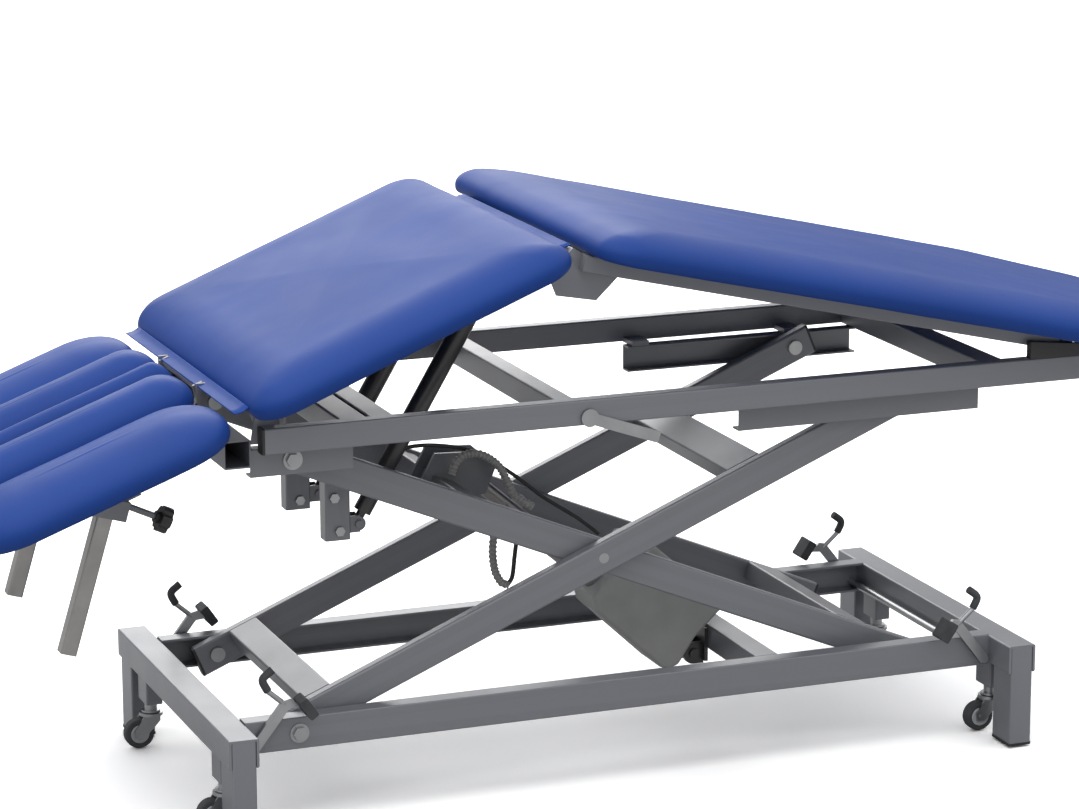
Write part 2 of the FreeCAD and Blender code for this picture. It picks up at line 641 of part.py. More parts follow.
def build_mid():
    """The middle section: a frame hinged on the top rails, and its cushion."""
    deep = size.frame_deep
    above = -size.frame_gap - deep / 2 - 3
    hinge_along, hinge_above = MID.local(size.hinge_x, size.hinge_z)
    peak_along, peak_above = MID.local(size.peak_x, size.peak_z)
    strut_along, strut_above = MID.local(size.strut_top_x, size.strut_top_z)
    gap = "2 * mid_rail_side - mid_rail_wide"
    parts = []
    for side in SIDES.values():
        y = side * size.mid_rail_side
        parts.append(block((peak_along + 2, "mid_rail_wide", "frame_deep"),
                           ((peak_along + 2) / 2 + 12, y, above), MID))
        parts.append(cross_bar(6, hinge_along, hinge_above, side * 225, side * 252, MID))
        parts.append(cross_bar(6, peak_along, peak_above, side * 225, side * 250, MID))
        parts.append(block((30, 22, 3.2), (70, side * 240, -1.6), MID))
        for way in (-1, 1):
            outline = [(strut_along - 16, -20), (strut_along + 26, -20), (strut_along + 14, -60),
                       (strut_along - 12, -60)]
            y_ear = side * size.post_side + way * 20
            parts.append(plate(outline, y_ear - 2, y_ear + 2, MID))
    for along in (75, 240, strut_along + 34, peak_along - 22):
        parts.append(block((30, gap, "frame_deep"), (along, 0, above), MID))
    node("mid_frame", fuse(*parts))
    padded_block("mid_cushion", lambda body: sketch_rectangle(body, "mid_length", "bed_width"),
                 "pad_corner", (size.mid_length / 2, 0, 0), MID)


def leg_outline(body):
    half, toe = size.bed_width / 2, size.toe_width / 2
    return closed_sketch(body, [(0, -half), (size.leg_taper, -half), (size.leg_length, -toe),
                                (size.leg_length, toe), (size.leg_taper, half), (0, half)])


def build_leg():
    """The leg section: side rails with gusset plates at the peak hinge, and its cushion."""
    above = -size.frame_gap - size.frame_deep / 2 - 1
    peak_along, peak_above = LEG.local(size.peak_x, size.peak_z)
    slide_along, slide_above = LEG.local(size.slide_x, size.slide_z)
    start, end = 2, slide_along + 16
    gap = "2 * leg_rail_side - leg_rail_wide"
    parts = []
    gussets = []
    for side in SIDES.values():
        y = side * size.leg_rail_side
        rail = rounded(block((end - start, "leg_rail_wide", "frame_deep"),
                             ((start + end) / 2, y, above), LEG), 2.0,
                       LEG.turn.multVec(Vector(1, 0, 0)))
        gusset = plate([(-139, 820), (-125, 785), (-61, 773), (-26, 806), (-80, 845), (-98, 856)],
                       side * 246, side * 250)
        eye = cross_bar(6 + size.running_gap, peak_along, peak_above, side * 240, side * 262, LEG)
        slide = cross_bar(7 + size.running_gap, slide_along, slide_above,
                          side * 240, side * 270, LEG)
        parts.append(cut(rail, eye, slide))
        gussets.append(cut(gusset, rail, eye))
    for along in (60, 400, 800):
        parts.append(block((30, gap, "frame_deep"), (along, 0, above), LEG))
    node("leg_frame", group(fuse(*parts), *gussets))
    padded_block("leg_cushion", leg_outline, "pad_corner", (0, 0, 0), LEG)
    blocks = []
    for side in SIDES.values():
        body = plate([(664, 628.4), (775, 628.4), (775, 644), (664, 656)], side * 267, side * 281)
        pin = cross_bar(7, size.slide_x, size.slide_z, side * 244, side * 270)
        body = fuse(body, pin)
        blocks.append(body)
    node("leg_slide_blocks", group(*blocks))


def build_head():
    """The head section: a face-rest bed of three pads between two armrests."""
    length = size.head_length
    middle = -length / 2 - size.head_gap
    for side_name, side in SIDES.items():
        padded_block(f"head_pad_{side_name}",
                     lambda body: sketch_rectangle(body, "head_length", "inner_pad"),
                     "head_corner", (middle, side * size.inner_side, 0), HEAD)
        padded_block(f"armrest_pad_{side_name}",
                     lambda body: sketch_rectangle(body, "head_length", "arm_pad"),
                     "head_corner", (middle, side * size.arm_pad_side, -size.arm_pad_drop), HEAD)
    padded_block("head_pad_centre",
                 lambda body: sketch_rectangle(body, "head_length", "centre_pad"),
                 "centre_pad / 2.2", (middle, 0, -4), HEAD)
    build_head_frame()


def build_head_frame():
    above = -size.frame_gap - 4 - 11
    hinge_along, hinge_above = HEAD.local(size.head_hinge_x, size.head_hinge_z)
    post_top = (-809, 495)
    lean = Line(post_top[0], post_top[1], -size.armrest_lean)
    parts = []
    for side in SIDES.values():
        parts.append(block((340, 22, 20), (-215, side * 100, above), HEAD))
        parts.append(plate([(-60, -6), (-60, -24), (-12, -24), (8, 10), (8, 22), (-8, 22), (-12, -5)],
                           side * 90, side * 96, HEAD))
        parts.append(block((58, 36, 30), (2, side * size.armrest_side, 12), lean))
        parts.append(bar(5, (-785, side * 146, 506), (-724, side * 146, 477)))
    for along in (-70, -330):
        parts.append(block((26, 240, 20), (along, 0, above), HEAD))
    parts.append(plate([(-200, -6), (-170, -6), (-150, -80), (-196, -80)], -150, 150, HEAD))
    parts.append(cross_bar(6, hinge_along, hinge_above, -112, 112, HEAD))
    hollow = [block((25.4, 25.4, 60), (0, side * size.armrest_side, 12), lean)
              for side in SIDES.values()]
    frame = cut(fuse(*parts), *hollow)
    node("head_frame", frame)
    build_armrest_posts(lean)
    build_knobs()


def build_armrest_posts(lean):
    """The square posts that carry the armrests: they slide in the clamps of the head frame."""
    for side_name, side in SIDES.items():
        y = side * size.armrest_side
        post = tube(("post_size", "post_size", 256), (0, y, -88), lean, run="z", wall=2, corner=3)
        lug = plate([(-232, -9), (-150, -9), (-158, -15), (-180, -24), (-215, -24)],
                    y - 12, y + 12, HEAD)
        clear = block((21, 21, 262), (0, y, -88), lean)
        node(f"armrest_post_{side_name}", fuse(post, cut(lug, clear)))


def build_knobs():
    """Star knobs on the ends of the clamp rods."""
    for side_name, side in SIDES.items():
        y = side * 146
        hub = bar(9, (-726, y, 478), (-716, y, 473.2))
        start = Vector(-720, y, 475.1)
        way = Vector(61, 0, -29).normalize()
        disc = bar("knob_radius", start, start + way * 16)
        lobes = []
        for turn in range(5):
            spin = FreeCAD.Rotation(way, 72 * turn)
            foot = start + spin.multVec(Vector(0, size.knob_radius + 3, 0)) - way
            lobes.append(bar(6, foot, foot + way * 18))
        bore = bar(5 + size.running_gap, start - way * 12, start + way * 9)
        rounds = cut(fuse(disc, hub), bore, *lobes)
        node(f"star_knob_{side_name}", rounds)


build_base()
build_castors()
for pedal_end in ENDS:
    build_pedal(pedal_end)
build_arms()
build_actuator()
build_top_frame()
build_struts()
build_mid()
build_leg()
build_head()
doc.recompute()

for item in doc.Objects:
    if "Invalid" in item.State or "Error" in item.State:
        raise RuntimeError(f"{item.Name} ({item.Label}) failed: {item.State}")
os.makedirs("parts", exist_ok=True)
whole = FreeCAD.BoundBox()
for name, feature in NODES.items():
    shape = feature.Shape
    if shape.isNull() or not shape.isValid():
        raise RuntimeError(f"{name} has no valid shape")
    whole.add(shape.BoundBox)
    shape.exportStep(f"parts/{name}.step")
print(len(NODES), "nodes; box", [round(value, 1) for value in (
    whole.XMin, whole.XMax, whole.YMin, whole.YMax, whole.ZMin, whole.ZMax)])
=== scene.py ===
import json
import math

import bmesh
import bpy
from mathutils import Matrix, Vector


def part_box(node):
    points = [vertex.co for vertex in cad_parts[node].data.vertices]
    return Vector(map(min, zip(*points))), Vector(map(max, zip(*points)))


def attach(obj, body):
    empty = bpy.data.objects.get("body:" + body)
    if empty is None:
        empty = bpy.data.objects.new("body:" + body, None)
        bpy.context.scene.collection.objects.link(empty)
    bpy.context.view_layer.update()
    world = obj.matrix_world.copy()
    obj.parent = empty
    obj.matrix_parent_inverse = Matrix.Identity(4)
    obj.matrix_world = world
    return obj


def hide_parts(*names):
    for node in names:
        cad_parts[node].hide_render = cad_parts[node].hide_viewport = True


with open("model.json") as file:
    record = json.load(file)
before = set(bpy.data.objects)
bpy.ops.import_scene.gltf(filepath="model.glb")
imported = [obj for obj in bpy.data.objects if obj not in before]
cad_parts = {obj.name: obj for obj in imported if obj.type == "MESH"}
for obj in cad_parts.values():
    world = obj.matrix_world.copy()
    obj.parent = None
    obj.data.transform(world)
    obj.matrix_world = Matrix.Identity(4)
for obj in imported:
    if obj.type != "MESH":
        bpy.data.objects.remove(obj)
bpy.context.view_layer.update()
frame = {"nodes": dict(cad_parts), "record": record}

MM = 0.001


# ------------------------------------------------------------------ materials

def new_material(name, colour, roughness, metallic=0.0, specular=0.5):
    """A Principled material; returns it with its tree and shader."""
    material = bpy.data.materials.new(name)
    material.use_nodes = True
    tree = material.node_tree
    shader = tree.nodes["Principled BSDF"]
    shader.inputs["Base Color"].default_value = (*colour, 1)
    shader.inputs["Roughness"].default_value = roughness
    shader.inputs["Metallic"].default_value = metallic
    shader.inputs["Specular IOR Level"].default_value = specular
    return material, tree, shader


def noise(tree, scale, detail=3.0, roughness=0.5, stretch=(1, 1, 1)):
    """Noise in object space, from 0 to 1."""
    coords = tree.nodes.new("ShaderNodeTexCoord")
    mapping = tree.nodes.new("ShaderNodeMapping")
    mapping.inputs["Scale"].default_value = stretch
    texture = tree.nodes.new("ShaderNodeTexNoise")
    texture.inputs["Scale"].default_value = scale
    texture.inputs["Detail"].default_value = detail
    texture.inputs["Roughness"].default_value = roughness
    tree.links.new(coords.outputs["Object"], mapping.inputs["Vector"])
    tree.links.new(mapping.outputs["Vector"], texture.inputs["Vector"])
    return texture.outputs["Fac"]


def ramp(tree, value, stops):
    """A colour ramp: stops are (position, colour)."""
    node = tree.nodes.new("ShaderNodeValToRGB")
    elements = node.color_ramp.elements
    while len(elements) < len(stops):
        elements.new(0.5)
    for element, (position, colour) in zip(elements, stops):
        element.position = position
        element.color = (*colour, 1)
    tree.links.new(value, node.inputs["Fac"])
    return node.outputs["Color"]


def spread(tree, value, low, high):
    """A value between 0 and 1, moved to the range from low to high."""
    node = tree.nodes.new("ShaderNodeMapRange")
    node.inputs["To Min"].default_value = low
    node.inputs["To Max"].default_value = high
    tree.links.new(value, node.inputs["Value"])
    return node.outputs["Result"]


def bump(tree, shader, height, strength, distance, after=None):
    """Bump from a height, on top of an earlier bump if one is given."""
    node = tree.nodes.new("ShaderNodeBump")
    node.inputs["Strength"].default_value = strength
    node.inputs["Distance"].default_value = distance
    tree.links.new(height, node.inputs["Height"])
    if after is not None:
        tree.links.new(after, node.inputs["Normal"])
    tree.links.new(node.outputs["Normal"], shader.inputs["Normal"])
    return node.outputs["Normal"]


def edge_wear_and_highlight_mask(tree, low, high):
    """A mask that is high on convex edges; it places the painted highlights on paint and vinyl and
    the scuffs on plastic.
    """
    geometry = tree.nodes.new("ShaderNodeNewGeometry")
    node = tree.nodes.new("ShaderNodeMapRange")
    node.inputs["From Min"].default_value = low
    node.inputs["From Max"].default_value = high
    tree.links.new(geometry.outputs["Pointiness"], node.inputs["Value"])
    return node.outputs["Result"]


def mixed(tree, factor, first, second):
    """A mix of two colours, each either a plain colour or an output."""
    node = tree.nodes.new("ShaderNodeMix")
    node.data_type = "RGBA"
    tree.links.new(factor, node.inputs["Factor"])
    for name, colour in (("A", first), ("B", second)):
        socket = next(s for s in node.inputs if s.name == name and s.type == "RGBA")
        if isinstance(colour, tuple):
            socket.default_value = (*colour, 1)
        else:
            tree.links.new(colour, socket)
    return next(s for s in node.outputs if s.type == "RGBA")


def tinted(tree, scale, colour, swing):
    """A gentle cloudy variation about a colour."""
    lighter = tuple(min(1.0, c * (1 + swing)) for c in colour)
    darker = tuple(c * (1 - swing) for c in colour)
    return ramp(tree, noise(tree, scale), [(0.3, darker), (0.7, lighter)])


def paint_material(name, colour, roughness=0.40, metallic=0.05):
    """Powder coat: fine orange peel, faint clouding, and a painted highlight, a lighter base colour
    on convex edges.
    """
    material, tree, shader = new_material(name, colour, roughness, metallic, specular=0.85)
    shader.inputs["Coat Weight"].default_value = 0.35
    shader.inputs["Coat Roughness"].default_value = 0.3
    clouds = tinted(tree, 9, colour, 0.05)
    # Painted highlight: the base colour is lighter along convex edges.
    edge = edge_wear_and_highlight_mask(tree, 0.53, 0.62)
    highlight_colour = tuple(min(1.0, c * 1.35) for c in colour)
    tree.links.new(mixed(tree, edge, clouds, highlight_colour), shader.inputs["Base Color"])
    smudge = noise(tree, 14, detail=5, roughness=0.6)
    tree.links.new(spread(tree, smudge, roughness - 0.08, roughness + 0.1),
                   shader.inputs["Roughness"])
    bump(tree, shader, noise(tree, 1400, detail=2), 0.12, 0.0004)
    return material


def plastic_material(name, colour, roughness=0.45, grain=2600):
    """Moulded plastic: fine spark-eroded grain and slightly scuffed edges."""
    material, tree, shader = new_material(name, colour, roughness)
    edge = edge_wear_and_highlight_mask(tree, 0.54, 0.66)
    lighter = tuple(min(1.0, c * 1.6 + 0.01) for c in colour)
    tree.links.new(mixed(tree, edge, tinted(tree, 20, colour, 0.08), lighter),
                   shader.inputs["Base Color"])
    tree.links.new(spread(tree, noise(tree, 30, detail=4), roughness - 0.07, roughness + 0.1),
                   shader.inputs["Roughness"])
    bump(tree, shader, noise(tree, grain, detail=2), 0.2, 0.0003)
    return material


def metal_material(name, colour, roughness, stretch=(1, 1, 1), scale=900):
    """Bare or plated metal with drawn or tumbled fine marks."""
    material, tree, shader = new_material(name, colour, roughness, metallic=1.0)
    tree.links.new(tinted(tree, 25, colour, 0.08), shader.inputs["Base Color"])
    marks = noise(tree, scale, detail=4, roughness=0.65, stretch=stretch)
    tree.links.new(spread(tree, marks, roughness - 0.08, roughness + 0.12),
                   shader.inputs["Roughness"])
    bump(tree, shader, marks, 0.12, 0.0003)
    return material


def rubber_material(name, colour):
    """Matt rubber with a coarse, uneven surface."""
    material, tree, shader = new_material(name, colour, 0.72, specular=0.35)
    tree.links.new(tinted(tree, 40, colour, 0.2), shader.inputs["Base Color"])
    tree.links.new(spread(tree, noise(tree, 60, detail=5), 0.6, 0.85), shader.inputs["Roughness"])
    bump(tree, shader, noise(tree, 1500, detail=4), 0.3, 0.0004)
    return material


VINYL_BLUE = (0.011, 0.042, 0.205)


def vinyl_material():
    """Smooth upholstery vinyl: shallow pebble grain, a faint colour drift and a painted highlight
    on the rolled edges.
    """
    material, tree, shader = new_material("vinyl", VINYL_BLUE, 0.46, specular=0.1)
    drift = tinted(tree, 2.6, VINYL_BLUE, 0.08)
    # Painted highlight: the base colour is lighter on the rolled convex edges, where sheen shows.
    roll_highlight_mask = edge_wear_and_highlight_mask(tree, 0.52, 0.6)
    highlight_colour = tuple(c * 1.25 for c in VINYL_BLUE)
    tree.links.new(mixed(tree, roll_highlight_mask, drift, highlight_colour), shader.inputs["Base Color"])
    tree.links.new(spread(tree, noise(tree, 11, detail=5), 0.40, 0.52),
                   shader.inputs["Roughness"])
    coords = tree.nodes.new("ShaderNodeTexCoord")
    cells = tree.nodes.new("ShaderNodeTexVoronoi")
    cells.feature = "DISTANCE_TO_EDGE"
    cells.inputs["Scale"].default_value = 520
    tree.links.new(coords.outputs["Object"], cells.inputs["Vector"])
    shallow = bump(tree, shader, noise(tree, 7, detail=3), 0.10, 0.004)
    bump(tree, shader, cells.outputs["Distance"], 0.10, 0.0004, after=shallow)
    return material


MATERIALS = {
    "frame_paint": paint_material("frame_paint", (0.115, 0.119, 0.134)),
    "black_plastic": plastic_material("black_plastic", (0.014, 0.014, 0.015)),
    "black_metal": paint_material("black_metal", (0.018, 0.018, 0.02), 0.35, 0.3),
    "zinc": metal_material("zinc", (0.40, 0.41, 0.42), 0.32),
    "steel": metal_material("steel", (0.34, 0.33, 0.32), 0.34, stretch=(6, 6, 0.2), scale=300),
    "tread": rubber_material("tread", (0.05, 0.052, 0.056)),
    "roller_nylon": plastic_material("roller_nylon", (0.62, 0.62, 0.58), 0.5),
    "motor_plastic": plastic_material("motor_plastic", (0.30, 0.305, 0.30), 0.5, 1800),
    "motor_metal": metal_material("motor_metal", (0.38, 0.38, 0.39), 0.4),
    "vinyl": vinyl_material(),
}
HUB_PLASTIC = plastic_material("hub_plastic", (0.32, 0.33, 0.35), 0.4)
CONDUIT = plastic_material("conduit", (0.24, 0.24, 0.235), 0.5)
CABLE = plastic_material("cable", (0.018, 0.018, 0.02), 0.42)


def paint_cad_nodes():
    """Give every CAD node the material of its slot."""
    for part in frame["record"]["subparts"]:
        obj = frame["nodes"][part["node"]]
        material = MATERIALS[part["material_slot"]]
        if not obj.data.materials:
            obj.data.materials.append(material)
        for number in range(len(obj.data.materials)):
            obj.data.materials[number] = material


# --------------------------------------------------------------------- pieces

def make_object(name, mesh_maker, material):
    """A smooth-shaded piece whose mesh is built by mesh_maker."""
    mesh = bpy.data.meshes.new(name)
    work = bmesh.new()
    mesh_maker(work)
    bmesh.ops.recalc_face_normals(work, faces=work.faces)
    work.to_mesh(mesh)
    work.free()
    for polygon in mesh.polygons:
        polygon.use_smooth = True
    mesh.materials.append(material)
    obj = bpy.data.objects.new(name, mesh)
    bpy.context.scene.collection.objects.link(obj)
    return obj


def rounded_outline(corners, radii, steps):
    """Points and outward normals round a convex outline whose corners are arcs."""
    ring = []
    count = len(corners)
    for i, (corner, radius) in enumerate(zip(corners, radii)):
        before, after = corners[i - 1], corners[(i + 1) % count]
        into = (corner - before).normalized()
        out = (after - corner).normalized()
        turn = into.angle(out)
        setback = radius * math.tan(turn / 2)
        normal_in = Vector((into.y, -into.x))
        centre = corner - into * setback - normal_in * radius
        for step in range(steps + 1):
            normal = normal_in.copy()
            normal.rotate(Matrix.Rotation(turn * step / steps, 2))
            ring.append((centre + normal * radius, normal))
    return ring


def filled_ring(ring, spacing):
    """The ring with extra points on its straight runs, no further apart than spacing."""
    filled = []
    for (point, normal), (following, next_normal) in zip(ring, ring[1:] + ring[:1]):
        filled.append((point, normal))
        gap = (following - point).length
        extra = int(gap / spacing)
        for k in range(1, extra + 1):
            t = k / (extra + 1)
            blend = (normal * (1 - t) + next_normal * t).normalized()
            filled.append((point.lerp(following, t), blend))
    return filled


CORNER_STEPS = 12
RIM_SPACING = 14 * MM
BOTTOM_STEPS = 6
SHOULDER_STEPS = 20
CLOSING_SHARES = (0.06, 0.14, 0.24, 0.36, 0.49, 0.62, 0.75, 0.87, 0.96)


def pad_profile(height, edge, tuck, low):
    """A pad's rim as (inset, height): tucked bottom, bulging side, long soft shoulder."""
    section = [(tuck + 12 * MM, 0.0)]
    for step in range(BOTTOM_STEPS + 1):
        angle = math.radians(90) * (1 - step / BOTTOM_STEPS)
        section.append((tuck * (1 - math.cos(angle)), low * (1 - math.sin(angle))))
    for step in range(1, SHOULDER_STEPS + 1):
        angle = math.radians(90) * step / SHOULDER_STEPS
        section.append((edge * (1 - math.cos(angle)), low + (height - low) * math.sin(angle)))
    return section


def pad_mesh(corners, radii, thick, crown, edge=92 * MM, tuck=9 * MM, low=15 * MM):
    """Builds a crowned pad: rings up the rim, then rings that close over the top."""
    centre = sum(corners, Vector((0, 0))) / len(corners)
    xs, ys = [c.x for c in corners], [c.y for c in corners]
    long_way = (max(xs) - min(xs)) - (max(ys) - min(ys))
    spine = Vector((max(0.0, long_way) / 2, max(0.0, -long_way) / 2))
    half_width = min(max(xs) - min(xs), max(ys) - min(ys)) / 2

    def core(point):
        """The nearest point of the pad's middle line."""
        offset = point - centre
        return centre + Vector((max(-spine.x, min(spine.x, offset.x)),
                                max(-spine.y, min(spine.y, offset.y))))

    def inside(point, normal, inset):
        """The rim point moved in: square to the rim at first, then towards the middle line."""
        straight = min(min(radii) * 0.5, inset)
        moved = point - normal * straight
        share = (inset - straight) / max(half_width - straight, 1e-6)
        return moved.lerp(core(moved), min(0.97, share))

    def build(work):
        ring = filled_ring(rounded_outline(corners, radii, CORNER_STEPS), RIM_SPACING)
        loops = []
        for inset, height in pad_profile(thick - crown, edge, tuck, low):
            loop = []
            for point, normal in ring:
                moved = inside(point, normal, inset)
                loop.append(work.verts.new((moved.x, moved.y, height)))
            loops.append(loop)
        plateau = [inside(point, normal, edge) for point, normal in ring]
        for share in CLOSING_SHARES:
            lift = crown * (1 - math.cos(math.pi * share)) / 2
            loops.append([work.verts.new((*point.lerp(centre, share), thick - crown + lift))
                          for point in plateau])
        for lower, upper in zip(loops, loops[1:]):
            for i in range(len(lower)):
                j = (i + 1) % len(lower)
                work.faces.new((lower[i], lower[j], upper[j], upper[i]))
        middle = work.verts.new((centre.x, centre.y, thick))
        base = work.verts.new((centre.x, centre.y, 0))
        for i in range(len(ring)):
            j = (i + 1) % len(ring)
            work.faces.new((loops[-1][i], loops[-1][j], middle))
            work.faces.new((loops[0][j], loops[0][i], base))
    return build


def section_matrix(origin, slope):
    """The frame of a sloping section: X along it, Z above it."""
    angle = math.radians(slope)
    return Matrix.Translation(origin) @ Matrix.Rotation(-angle, 4, "Y")


def soften(obj, amount, size):
    """Small hand-tight unevenness of a cover over foam."""
    texture = bpy.data.textures.new(obj.name + "_foam", "CLOUDS")
    texture.noise_scale = size
    texture.noise_depth = 2
    modifier = obj.modifiers.new("foam", "DISPLACE")
    modifier.texture = texture
    modifier.texture_coords = "GLOBAL"
    modifier.strength = amount
    modifier.mid_level = 0.5
    subdivide = obj.modifiers.new("smooth", "SUBSURF")
    subdivide.levels = 1
    subdivide.render_levels = 1


def make_pad(name, node, body, matrix, corners, radii, thick, crown, **rim):
    """A pad in place of a CAD cushion, riding the cushion's body."""
    pad = make_object(name, pad_mesh(corners, radii, thick, crown, **rim), MATERIALS["vinyl"])
    pad.data.transform(matrix)
    soften(pad, 1.6 * MM, 0.12)
    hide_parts(node)
    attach(pad, body)
    return pad


def rectangle(x0, x1, y0, y1):
    return [Vector((x0, y0)), Vector((x1, y0)), Vector((x1, y1)), Vector((x0, y1))]


MID = section_matrix((-615.3 * MM, 0, 647.6 * MM), 22)
LEG = section_matrix((-84.7 * MM, 0, 849.1 * MM), -13)
HEAD = section_matrix((-633 * MM, 0, 641 * MM), 20.5)
PAD_THICK = 60 * MM
BED_HALF = 360 * MM
BED_CORNER = 57 * MM
BED_CROWN = 6 * MM
MID_LENGTH = 532 * MM
LEG_LENGTH = 1156 * MM
LEG_TAPER = 930 * MM
TOE_HALF = 200 * MM
HEAD_RIGHT = -14 * MM
HEAD_LEFT = -432 * MM


def build_bed_pads():
    """The cushions of the middle section and of the leg section."""
    make_pad("mid_pad", "mid_cushion", "mid", MID,
             rectangle(0, MID_LENGTH, -BED_HALF, BED_HALF), [BED_CORNER] * 4, PAD_THICK, BED_CROWN)
    outline = [Vector((0, -BED_HALF)), Vector((LEG_TAPER, -BED_HALF)),
               Vector((LEG_LENGTH, -TOE_HALF)), Vector((LEG_LENGTH, TOE_HALF)),
               Vector((LEG_TAPER, BED_HALF)), Vector((0, BED_HALF))]
    radii = [BED_CORNER, 160 * MM, 90 * MM, 90 * MM, 160 * MM, BED_CORNER]
    make_pad("leg_pad", "leg_cushion", "leg", LEG, outline, radii, PAD_THICK, BED_CROWN)


def build_head_pads():
    """The two face pads, the two armrest pads and the narrow centre pad."""
    for side_name, side in (("near", -1), ("far", 1)):
        edges = sorted((side * 33 * MM, side * 153 * MM))
        make_pad(f"face_pad_{side_name}", f"head_pad_{side_name}", "head", HEAD,
                 rectangle(HEAD_LEFT, HEAD_RIGHT, *edges), [52 * MM] * 4, PAD_THICK,
                 0.4 * MM, edge=56 * MM)
        edges = sorted((side * 155 * MM, side * BED_HALF))
        lower = HEAD @ Matrix.Translation((0, 0, -8 * MM))
        make_pad(f"arm_pad_{side_name}", f"armrest_pad_{side_name}", f"armrest_{side_name}",
                 lower, rectangle(HEAD_LEFT, HEAD_RIGHT, *edges), [88 * MM] * 4, PAD_THICK,
                 0.8 * MM, edge=96 * MM)
    lower = HEAD @ Matrix.Translation((0, 0, -4 * MM))
    make_pad("face_pad_centre", "head_pad_centre", "head", lower,
             rectangle(HEAD_LEFT, HEAD_RIGHT, -31 * MM, 31 * MM), [28 * MM] * 4, PAD_THICK - 2 * MM,
             0.3 * MM, edge=29 * MM)


# ---------------------------------------------------------------- small pieces

def lathe(work, profile, matrix, steps=40):
    """Turns (radius, along) points about Z into a closed surface, then moves it."""
    angles = [2 * math.pi * k / steps for k in range(steps)]
    loops = []
    for radius, along in profile:
        points = [Vector((radius * math.cos(a), radius * math.sin(a), along)) for a in angles]
        loops.append([work.verts.new(matrix @ point) for point in points])
    for lower, upper in zip(loops, loops[1:]):
        for i in range(steps):
            j = (i + 1) % steps
            work.faces.new((lower[i], lower[j], upper[j], upper[i]))
    work.faces.new(loops[0][::-1])
    work.faces.new(loops[-1])


def towards(point, direction):
    """A frame at a point with Z along a direction."""
    turn = Vector(direction).to_track_quat("Z", "Y").to_matrix().to_4x4()
    return Matrix.Translation(point) @ turn


def box_centre(node):
    low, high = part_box(node)
    return (Vector(low) + Vector(high)) / 2


WHEEL_HALF_WIDTH = 9.5 * MM
HUB_PROFILE = [(15 * MM, 0), (15 * MM, 0.5 * MM), (13.5 * MM, 0.9 * MM), (11 * MM, 0.4 * MM),
               (7.5 * MM, 0.4 * MM), (6 * MM, 0.9 * MM), (5 * MM, 0.9 * MM)]


def build_castor_hubs():
    """A grey hub disc in each face of each castor wheel."""
    for end in ("head", "foot"):
        for side in ("near", "far"):
            centre = box_centre(f"castor_wheel_{end}_{side}")
            for way_name, way in (("front", -1), ("back", 1)):
                start = centre + Vector((0, way * (WHEEL_HALF_WIDTH - 0.2 * MM), 0))
                place = towards(start, (0, way, 0))
                hub = make_object(f"castor_hub_{end}_{side}_{way_name}",
                                  lambda work, m=place: lathe(work, HUB_PROFILE, m),
                                  HUB_PLASTIC)
                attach(hub, f"wheel_{end}_{side}")


PEDAL_SIDE = 250 * MM
HOOK_ROUTE = [(588, 220.5), (594, 231), (596.2, 237.5), (594, 242.5), (585, 249.2), (580, 252.8)]


def build_hook_sleeves():
    """A moulded black sleeve on the tip of each toe hook."""
    for end_name, end in (("head", -1), ("foot", 1)):
        for side_name, side in (("near", -1), ("far", 1)):
            curve = bpy.data.curves.new(f"hook_{end_name}_{side_name}", "CURVE")
            curve.dimensions = "3D"
            spline = curve.splines.new("NURBS")
            spline.points.add(len(HOOK_ROUTE) - 1)
            for point, (x, z) in zip(spline.points, HOOK_ROUTE):
                point.co = (end * x * MM, side * PEDAL_SIDE, z * MM, 1)
            spline.order_u = 3
            spline.use_endpoint_u = True
            curve.bevel_depth = 6.2 * MM
            curve.bevel_resolution = 4
            curve.use_fill_caps = True
            shape = bpy.data.objects.new("sleeve_shape", curve)
            mesh = bpy.data.meshes.new_from_object(shape)
            bpy.data.objects.remove(shape)
            sleeve = bpy.data.objects.new(f"hook_sleeve_{end_name}_{side_name}", mesh)
            mesh.materials.clear()
            mesh.materials.append(MATERIALS["tread"])
            for polygon in mesh.polygons:
                polygon.use_smooth = True
            bpy.context.scene.collection.objects.link(sleeve)
            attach(sleeve, f"pedal_{end_name}")


STRIP_ROWS = 12
STRIP_COLUMNS = 24


def strip(matrix, wide, long, sag):
    """Builds a sheet that hangs a little between its two long edges."""
    def build(work):
        rows = []
        for i in range(STRIP_ROWS + 1):
            u = (i / STRIP_ROWS - 0.5) * wide
            height = -sag * math.cos(math.pi * u / wide)
            across = [(v / STRIP_COLUMNS - 0.5) * long for v in range(STRIP_COLUMNS + 1)]
            rows.append([work.verts.new(matrix @ Vector((u, y, height))) for y in across])
        for lower, upper in zip(rows, rows[1:]):
            for i in range(STRIP_COLUMNS):
                work.faces.new((lower[i], lower[i + 1], upper[i + 1], upper[i]))
    return build


def build_gap_strips():
    """The vinyl strips that cover the gaps between the sections."""
    for name, body, point, slope, wide, long in (
            ("head_gap_strip", "head", (-634 * MM, 0, 665 * MM), 21, 23 * MM, 600 * MM),
            ("peak_gap_strip", "mid", (-107 * MM, 0, 858 * MM), 5, 22 * MM, 470 * MM)):
        piece = make_object(name, strip(section_matrix(point, slope), wide, long, 2 * MM),
                            MATERIALS["vinyl"])
        solid = piece.modifiers.new("thickness", "SOLIDIFY")
        solid.thickness = 1.6 * MM
        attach(piece, body)


FINE_STEPS = 60


def smooth_path(points, spacing):
    """Points at an even spacing along a Catmull-Rom curve through the given points."""
    points = [Vector(point) for point in points]
    ends = [points[0] * 2 - points[1]] + points + [points[-1] * 2 - points[-2]]
    fine = []
    for a, b, c, d in zip(ends, ends[1:], ends[2:], ends[3:]):
        for step in range(FINE_STEPS):
            t = step / FINE_STEPS
            fine.append(0.5 * (2 * b + (c - a) * t + (2 * a - 5 * b + 4 * c - d) * t * t
                               + (3 * b - a - 3 * c + d) * t ** 3))
    even = [fine[0]]
    for point in fine:
        if (point - even[-1]).length >= spacing:
            even.append(point)
    return even


